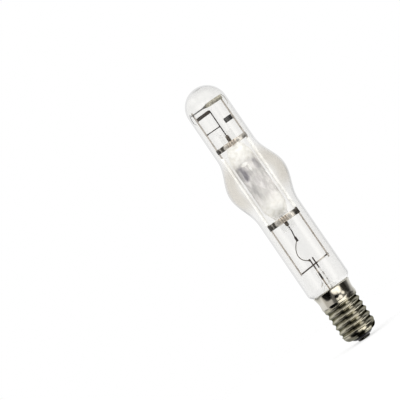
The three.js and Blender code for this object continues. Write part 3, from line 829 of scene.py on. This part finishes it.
def build_dome_spring(node, side):
    """A leaf that leaves the end of the top strap, bears on the glass, and curls back in."""
    top, bottom = high(node).z, low(node).z
    outer = max(abs(low(node).x), abs(high(node).x)) - 0.2 * MM
    foot = outer - 1.7 * MM
    span = top - bottom
    profile = [
        (foot, top - 0.2 * MM), (foot + 1.0 * MM, top - 0.16 * span),
        (outer, top - 0.42 * span), (outer, top - 0.68 * span),
        (outer - 0.5 * MM, top - 0.85 * span), (outer - 1.5 * MM, bottom + 0.3 * MM),
    ]
    path = curve_through([(side * x, 0, z) for x, z in profile])
    shape = swept(path, flat_section(size(node).y - 0.4 * MM, SPRING_THICKNESS), side=(0, 1, 0))
    piece(node + "_leaf", shape, SPRING, node)


def build_getter():
    """A steel strip with a band of black getter powder pressed into its face."""
    node = "getter_strip"
    left, z = low(node).x, middle(node).z
    length, width = size(node).x, size(node).z

    def strip(start, end, steps, y, strip_width, thickness):
        path = [(x, y, z) for x in spaced(start, end, steps)]
        return swept(path, flat_section(strip_width, thickness), side=(0, 0, 1))

    def grain(v):
        return v + Vector((0, 0.12 * MM * noise.noise(v * 900), 0))

    holder = strip(left, high(node).x + 0.2 * MM, 8, 0.1 * MM, width, 0.35 * MM)
    powder = strip(left + 0.3 * MM, left + length * 0.86, 40, -0.2 * MM, width * 0.8, 0.5 * MM)
    piece(node + "_plate", joined(holder, moved(powder, grain)), GETTER, node)


# ---- arc tube ----

def build_arc_tube():
    """Round quartz body whose shoulders flatten smoothly into a ribbed pinch at each end."""
    sides = 96
    centre = (ARC_BOTTOM + ARC_TOP) / 2
    body_half = (ARC_TOP - ARC_BOTTOM) / 2
    end_half = size("arc_tube").z / 2
    straight = body_half - ARC_SHOULDER
    blend_start = body_half - 7.5 * MM
    blend_end = body_half + 1.5 * MM
    rounding = 1.2 * MM

    def round_radius(z):
        share = min(max(z - straight, 0) / ARC_SHOULDER, 1)
        return ARC_RADIUS * sqrt(1 - share * share)

    start_radius = round_radius(blend_start)

    def ring(z):
        """One cross-section at a distance z from the tube's middle."""
        if z <= blend_start:
            return [Vector((u, v, 0)) for u, v in round_section(round_radius(z), sides)]
        t = smooth_step((z - blend_start) / (blend_end - blend_start))
        half_width = start_radius + (PINCH_WIDTH / 2 - start_radius) * t
        half_depth = start_radius + (PINCH_THICKNESS / 2 - start_radius) * t ** 0.75
        end = min((end_half - z) / rounding, 1)
        soft = 0.8 + 0.2 * sqrt(max(1 - (1 - end) ** 2, 0))
        points = []
        for u, v in squarish_section(half_width, half_depth, 2 + 3.5 * t, sides):
            hollow = 0.32 * t * smooth_step(1 - abs(u) / (PINCH_WIDTH * 0.36))
            points.append(Vector((u * soft, v * soft * (1 - hollow), 0)))
        return points

    half_heights = spaced(0, straight, 6) + spaced(straight, blend_start, 10)[1:]
    half_heights += spaced(blend_start, blend_end, 14)[1:]
    half_heights += spaced(blend_end, end_half - rounding, 10)[1:]
    half_heights += [end_half - share * MM for share in (0.8, 0.45, 0.2, 0.05, 0.0)]
    upper = [[point + Vector((0, 0, centre + z)) for point in ring(z)] for z in half_heights]
    lower = [[point + Vector((0, 0, centre - z)) for point in ring(z)] for z in half_heights[1:]]
    outside = lofted(list(reversed(lower)) + upper)

    bore = ARC_RADIUS - QUARTZ_WALL
    profile = arc((0, straight), bore, ARC_SHOULDER - QUARTZ_WALL, 0, QUARTER, 24)
    outline = [(r, centre - z) for r, z in reversed(profile)] + [(r, centre + z) for r, z in profile]
    chamber_vertices, chamber_faces = turned(outline, sides)
    chamber = (chamber_vertices, [list(reversed(face)) for face in chamber_faces])
    piece("arc_tube_quartz_body", joined(outside, chamber), QUARTZ, "arc_tube", 60)


def build_electrode(end):
    node = "electrode_" + end
    radius = size(node).x / 2
    piece(node + "_rod", rounded_wire(upright(node, 8), radius), TUNGSTEN, node)

    node = "electrode_coil_" + end
    wire = 0.33 * MM
    bottom, top = low(node).z + wire, high(node).z - wire
    coil_radius = radius + wire + 0.05 * MM
    turns = 7
    path = []
    for t in spaced(0, 1, turns * 24):
        angle = TAU * turns * t
        z = bottom + (top - bottom) * t
        path.append((coil_radius * cos(angle), coil_radius * sin(angle), z))
    piece(node + "_wire", rounded_wire(path, wire, 10), TUNGSTEN, node)


def build_foil(end):
    """Thin molybdenum foil, feathered at its edges and narrowed at both ends."""
    node = "foil_" + end
    half_width = size(node).x / 2
    half_thickness = 0.06 * MM
    section = [(half_width, 0), (0, half_thickness), (-half_width, 0), (0, -half_thickness)]

    def narrowing(t):
        return 0.45 + 0.55 * smooth_step(min(t, 1 - t) * 6)

    shape = swept(upright(node, 20), section, side=(1, 0, 0), scale=narrowing)
    piece(node + "_sheet", shape, MOLYBDENUM, node)


def build_salt_dose():
    """Condensed salts: a lumpy crust round the foot of the lower electrode."""
    node = "salt_dose"
    bottom, top = low(node).z, high(node).z
    outer = size(node).x / 2
    outline = [
        (outer * 0.4, bottom + 0.4 * MM), (outer, bottom + 1.2 * MM),
        (outer * 0.9, top), (outer * 0.4, top - 0.8 * MM),
    ]
    rounded = []
    for (r0, z0), (r1, z1) in zip(outline, outline[1:] + outline[:1]):
        rounded += [(r0 + (r1 - r0) * t, z0 + (z1 - z0) * t) for t in (0.12, 0.5, 0.88)]

    def crust(v):
        outward = Vector((v.x, v.y, 0)).normalized()
        swell = 0.5 * MM * noise.noise(v * 700)
        lift = 0.3 * MM * noise.noise(v * 900 + Vector((5, 0, 0)))
        return v + outward * swell + Vector((0, 0, lift))

    shape = moved(turned(rounded, 72, closed=True), crust)
    piece(node + "_crust", shape, SALT, node, 70)


# ---- leads of the arc tube ----

def build_arc_leads():
    node = "arc_lead_upper"
    radius = size(node).x / 2
    piece(node + "_wire", rounded_wire(upright(node, 8), radius), DARK_WIRE, node)

    node = "arc_lead_lower"
    crimp = "lead_crimp"
    joint = middle(crimp)
    path = curve_through([
        (0, 0, high(node).z), (0.1 * MM, 0, 138 * MM), (0.1 * MM, 0, 134 * MM),
        (joint.x, 0, high(crimp).z + 1 * MM), (joint.x, 0, low(node).z),
    ])
    piece(node + "_wire", rounded_wire(path, radius), DARK_WIRE, node)

    section = round_section(size(crimp).x / 2, 24)
    rings = []
    for t in spaced(0, 1, 24):
        pinch = 0.16 * sum(exp(-((t - place) / 0.09) ** 2) for place in (0.3, 0.7))
        from_end = min(min(t, 1 - t) * 12, 1)
        end = 0.8 + 0.2 * sqrt(1 - (1 - from_end) ** 2)
        z = low(crimp).z + size(crimp).z * t
        rings.append([Vector((joint.x + u * end, v * (1 - pinch) * end, z)) for u, v in section])
    piece(crimp + "_sleeve", lofted(rings), DARK_WIRE, crimp)


def build_ribbon():
    """Slack nickel ribbon, an S from under the crimp to the left stem lead."""
    start = Vector((middle("lead_crimp").x - 0.4 * MM, 0, low("lead_crimp").z + 0.8 * MM))
    end = Vector((LEFT_LEAD.x - LEAD_RADIUS - 0.4 * MM, LEFT_LEAD.y, 98.6 * MM))
    bends_mm = (
        (-2.6, -0.1, 121.8), (-4.9, -0.3, 119.2), (-7.7, -1.0, 114.8),
        (-9.2, -2.2, 109.2), (-7.9, -3.2, 103.7), (-5.0, -3.7, 100.6),
    )
    path = curve_through([start] + [Vector(bend) * MM for bend in bends_mm] + [end], 10)
    shape = swept(path, flat_section(1.8 * MM, 0.9 * MM), side=(0.6, 0.7, 0.3))
    bead = weld_bead(end + Vector((0.4 * MM, 0, 0)), (1.1, 1.1, 1.3), 4)
    piece("nickel_ribbon_strip", joined(shape, bead), RIBBON, "nickel_ribbon")


def build_upper_links():
    node = "upper_cross_wire"
    left, right, z = low(node).x, high(node).x, middle(node).z
    wire = rounded_wire([(x, 0, z) for x in spaced(left - 0.5 * MM, right + 0.4 * MM, 8)], 0.6 * MM)
    beads = [
        weld_bead((right + 0.6 * MM, 0, z), (1.0, 0.9, 1.1), 5),
        weld_bead((left, 0, z), (0.9, 0.9, 1.0), 6),
    ]
    piece(node + "_bar", joined(wire, *beads), DARK_WIRE, node)

    node = "upper_lead_strip"
    left, right, z = low(node).x - 0.4 * MM, high(node).x + 0.4 * MM, middle(node).z
    path = [
        (left + (right - left) * t, -0.5 * MM * sin(pi * t), z + 0.5 * MM * t)
        for t in spaced(0, 1, 20)
    ]
    shape = swept(path, flat_section(size(node).z + 0.8 * MM, 0.4 * MM), side=(0, 0, 1))
    piece(node + "_band", shape, DARK_WIRE, node)


# ---- cap ----

def thread_groove(z, angle):
    """How far the rolled right-hand thread presses the sheet in from its crest line."""
    run_in = 2.2 * MM
    engaged = smooth_step((z - THREAD_RANGE[0]) / run_in) * smooth_step((THREAD_RANGE[1] - z) / run_in)
    wave = 0.5 - 0.5 * cos(TAU * (z - THREAD_PHASE) / THREAD_PITCH - angle)
    return THREAD_DEPTH * wave * engaged


def build_cap_shell():
    """Rolled thread, a rounded lip below it, and a plain collar above it: bead, waist and flare."""
    rim = high("cap_shell").z / MM
    collar_mm = (
        (0, THREAD_RANGE[1] / MM), (0.1, 45.7), (0.6, 47.2), (0.7, 48.4), (0.3, 50.6),
        (0.15, 53.2), (0.5, 56.5), (1.1, 59.5), (1.65, 61.2), (2.05, rim - 0.12),
    )
    collar = curve_through([(THREAD_CREST + out * MM, 0, z * MM) for out, z in collar_mm], 6)[1:]
    lip_radius = MOUTH_RADIUS + LIP_BEND
    run_out = 1.2 * MM

    def sheet(inset):
        bend = LIP_BEND - inset
        lines = arc(LIP_CENTRE, bend, bend, -QUARTER, 0, 18)
        for z in spaced(LIP_TOP, THREAD_RANGE[1], 106)[1:]:
            into_thread = smooth_step((z - LIP_TOP) / run_out)
            lines.append((lip_radius + (THREAD_CREST - lip_radius) * into_thread - inset, z))
        return lines + [(point.x - inset, point.z) for point in collar]

    edge = [(THREAD_CREST + 1.8 * MM, rim * MM)]
    outline = sheet(0) + edge + list(reversed(sheet(SHELL_SHEET)))
    shape = turned(outline, 160, closed=True, groove=thread_groove)
    piece("cap_shell_thread", shape, CAP_METAL, "cap_shell", 55)


def build_cap_insulator():
    """Black glass that fills the shell's mouth and narrows as a cone to the centre contact."""
    node = "cap_insulator"
    face, top = low(node).z, high(node).z
    bore = 3 * MM
    face_radius = 7.7 * MM
    neck = MOUTH_RADIUS - CLEARANCE
    mouth = LIP_TOP - LIP_BEND
    bend = LIP_BEND - SHELL_SHEET - CLEARANCE
    plug = THREAD_CREST - THREAD_DEPTH - SHELL_SHEET - CLEARANCE
    sag = 0.35 * MM      # how far the cone swells beyond a straight one
    outline = [(bore, face)]
    for t in spaced(0, 1, 12):
        outline.append((
            face_radius + (neck - 0.3 * MM - face_radius) * t,
            face + (mouth - 0.6 * MM - face) * t - sag * sin(pi * t),
        ))
    outline += [(neck, mouth - 0.3 * MM), (neck, LIP_TOP - bend)]
    outline += arc(LIP_CENTRE, bend, bend, -QUARTER, -acos((plug - MOUTH_RADIUS) / bend), 10)
    outline += [(plug, top), (bore, top)]
    shape = turned(outline, 128, closed=True)
    piece(node + "_glass", shape, BLACK_GLASS, node, 50)


def build_centre_contact():
    """A domed plate under the black glass, with its stem."""
    node = "centre_contact"
    outer = size(node).x / 2
    top = high(node).z
    step = low("cap_insulator").z - CLEARANCE
    stem = 2.6 * MM
    outline = [(0, 0)] + arc((outer - 2.3 * MM, 1.4 * MM), 2.15 * MM, 1.4 * MM, -QUARTER, 0, 10)
    outline += [(outer, step - 0.2 * MM), (outer - 0.2 * MM, step), (stem, step), (stem, top), (0, top)]
    piece(node + "_disc", turned(outline, 72), CONTACT, node)


def build_cement():
    node = "basing_cement"
    outer = size(node).x / 2
    inner = outer - 0.45 * MM
    bottom, top = low(node).z, high(node).z
    outline = [(inner, bottom), (outer, bottom), (outer, top)]
    for t in (0.75, 0.5, 0.25, 0):
        outline.append((inner + (outer - inner) * t, top + 0.2 * MM * sin(pi * t)))

    def rough(v):
        return v + Vector((0, 0, 0.12 * MM * noise.noise(v * 500))) if v.z > top - 0.1 * MM else v

    piece("basing_cement_ring", moved(turned(outline, 128, closed=True), rough), CEMENT, node)


def build_cap_wires():
    """From the left stem lead to the centre contact, and from the right one through the shell's skirt."""
    radius = 0.5 * MM
    live, back = "cap_wire_live", "cap_wire_return"
    x, y = LEFT_LEAD.xy
    to_contact = [
        (x, y, high(live).z), (x, y, 46 * MM), (x - 0.3 * MM, y, 31 * MM),
        (0, -1.2 * MM, 22 * MM), (0, 0, 15 * MM), (0, 0, low(live).z),
    ]
    x, y = RIGHT_LEAD.xy
    hole = low(back).z + radius
    to_skirt = [
        (x, y, high(back).z), (x, y, 51 * MM), (x, y + 1.2 * MM, hole + 1 * MM),
        (x, y + 4 * MM, hole), (x, high(back).y, hole),
    ]
    for node, points in ((live, to_contact), (back, to_skirt)):
        piece(node + "_lead", rounded_wire(curve_through(points), radius), RIBBON, node)


def build_side_solder():
    """A lumpy dome of solder that lies on the curve of the skirt."""
    node = "side_solder"
    place = middle(node)
    skirt = THREAD_CREST + 0.55 * MM
    outline = arc((0, 0), size(node).x / 2, size(node).y, -0.25, QUARTER, 12)
    outline = [(0, outline[0][1])] + outline

    def lay(v):
        lump = 1 + 0.12 * noise.noise(v * 500)
        x = place.x + v.x * lump
        z = place.z - v.y * lump
        return Vector((x, sqrt(skirt ** 2 - x ** 2) + v.z * lump, z))

    piece(node + "_bead", moved(turned(outline, 32), lay), SOLDER, node)


build_outer_bulb()
build_stem()
build_exhaust_tube()
build_stem_lead("stem_lead_left")
build_stem_lead("stem_lead_right")
build_side_rod("side_rod_left")
build_side_rod("side_rod_right")
build_crossbar()
build_sleeve("rod_sleeve_left")
build_sleeve("rod_sleeve_right")
for level in ("upper", "lower"):
    build_strap("strap_" + level + "_front", -1)
    build_strap("strap_" + level + "_back", 1)
    build_electrode(level)
    build_foil(level)
build_top_strap()
build_dome_spring("dome_spring_left", -1)
build_dome_spring("dome_spring_right", 1)
build_getter()
build_arc_tube()
build_salt_dose()
build_arc_leads()
build_ribbon()
build_upper_links()
build_cap_shell()
build_cap_insulator()
build_centre_contact()
build_cement()
build_cap_wires()
build_side_solder()


# ---- stage ----

def build_floor():
    """A pale disc under the lamp that fades out into the white surroundings."""
    radius = 1.5
    sides = 64
    mesh = bpy.data.meshes.new("floor")
    corners = [(x, y, 0) for x, y in round_section(radius, sides)]
    mesh.from_pydata(corners, [], [list(range(sides))])
    floor = placed("floor", mesh)
    floor.location.z = -0.1 * MM
    s = new_shader("pale_floor")
    distance = s.add("VectorMath", {0: s.position()}, operation="LENGTH")["Value"]
    paint = s.add("BsdfDiffuse", {"Color": grey(0.85)})[0]
    glow = s.add("Emission", {"Color": grey(0.95)})[0]
    clear = s.add("BsdfTransparent")[0]
    fading = s.blend(s.ramp(distance, 0.25, 0.9), s.blend(0.7, paint, glow), clear)
    mesh.materials.append(s.surface(fading))
    floor.visible_glossy = False


def build_surroundings():
    """White behind the lamp and for its light; soft boxes and dark flags for its reflections."""
    world = bpy.data.worlds.new("studio")
    scene.world = world
    s = Shader(world)
    direction = s.add("TexCoord")["Generated"]

    def patch(azimuth, elevation, inner, outer):
        """1 inside a cone of directions, falling to 0 at its soft edge. Azimuth 0 is in front, 90 right."""
        turn, tilt = radians(azimuth), radians(elevation)
        axis = Vector((sin(turn) * cos(tilt), -cos(turn) * cos(tilt), sin(tilt)))
        cosine = s.add("VectorMath", {0: direction, 1: axis}, operation="DOT_PRODUCT")["Value"]
        return s.ramp(cosine, cos(radians(outer)), cos(radians(inner)))

    # Each row holds azimuth, elevation, inner and outer half-angle in degrees, and strength.
    lights = [
        (8, -31, 10, 22, 1.5),        # low soft box in front, made of two overlapping patches
        (32, -28, 10, 24, 1.7),
        (2, 15, 5, 14, 1.3),          # soft box above it
        (22, 15, 6, 15, 1.3),
        (47, 0, 6, 15, 1.3),          # soft box on the right
        (0, 47, 12, 26, 0.75),        # pale ceiling, in three overlapping patches
        (-50, 45, 14, 32, 0.55),
        (40, 45, 12, 30, 0.8),
        (-64, 4, 24, 40, 0.5),        # olive wall on the left
        (89, -66, 6, 14, 2.2),        # low lamps on the right that glint on the lip
        (112, -44, 9, 20, 1.3),
        (-172, -8, 74, 106, 0.8),     # white sweep behind
    ]
    flags = [
        (1, -1, 9, 17, 0.98),         # the dark room behind the camera
        (-50, -32, 22, 33, 0.98),
        (0, -90, 14, 32, 0.97),       # the shaded table right under the lamp
        (-128, -50, 24, 42, 0.62),
        (88, -15, 20, 38, 0.75),
    ]
    reflected = 0.14
    for *cone, strength in lights:
        reflected = s.most(s.times(patch(*cone), strength), reflected)
    for *cone, strength in flags:
        reflected = s.times(reflected, s.math("SUBTRACT", 1.0, s.times(patch(*cone), strength)))
    behind = patch(180, 0, 70, 105)
    through = s.math("MULTIPLY_ADD", behind, 0.14, 0.86)

    def glow(colour, strength):
        return s.add("Background", {"Color": colour, "Strength": strength})[0]

    warm = s.mix(behind, rgb(1.0, 0.965, 0.9), grey(1.0))
    ray = s.add("LightPath")
    shader = s.blend(ray["Is Glossy Ray"], glow(grey(1.0), 1.25), glow(warm, reflected))
    shader = s.blend(ray["Is Transmission Ray"], shader, glow(grey(1.0), through))
    shader = s.blend(ray["Is Camera Ray"], shader, glow(grey(1.0), 1.0))
    s.add("OutputWorld", {"Surface": shader})


def add_area_light(name, location, power):
    """A square soft light that shines on the lower half of the lamp."""
    data = bpy.data.lights.new(name, "AREA")
    data.size = 0.8
    data.energy = power
    light = placed(name, data)
    light.location = location
    light.rotation_euler = (Vector((0, 0, 0.12)) - Vector(location)).to_track_quat("-Z", "Y").to_euler()
    light.visible_camera = False
    light.visible_glossy = False
    light.visible_transmission = False


def build_camera():
    """Level with the lower neck, with a long lens, and rolled so that the lamp leans left."""
    roll = radians(-34.1)
    place = Vector((0.0047, -1.2839, 0.0885))
    target = Vector((-0.0612, 0.0, 0.2156))
    data = bpy.data.cameras.new("camera")
    data.sensor_width = 36
    data.lens = 110.3
    data.clip_start = 0.05
    data.clip_end = 20
    camera = placed("camera", data)
    camera.location = place
    camera.rotation_mode = "QUATERNION"
    camera.rotation_quaternion = (target - place).to_track_quat("-Z", "Y") @ Quaternion((0, 0, 1), roll)
    scene.camera = camera


build_floor()
build_surroundings()
add_area_light("key", (-0.7, -0.9, 1.1), 7)
add_area_light("fill", (0.9, -0.6, 0.7), 3)
build_camera()
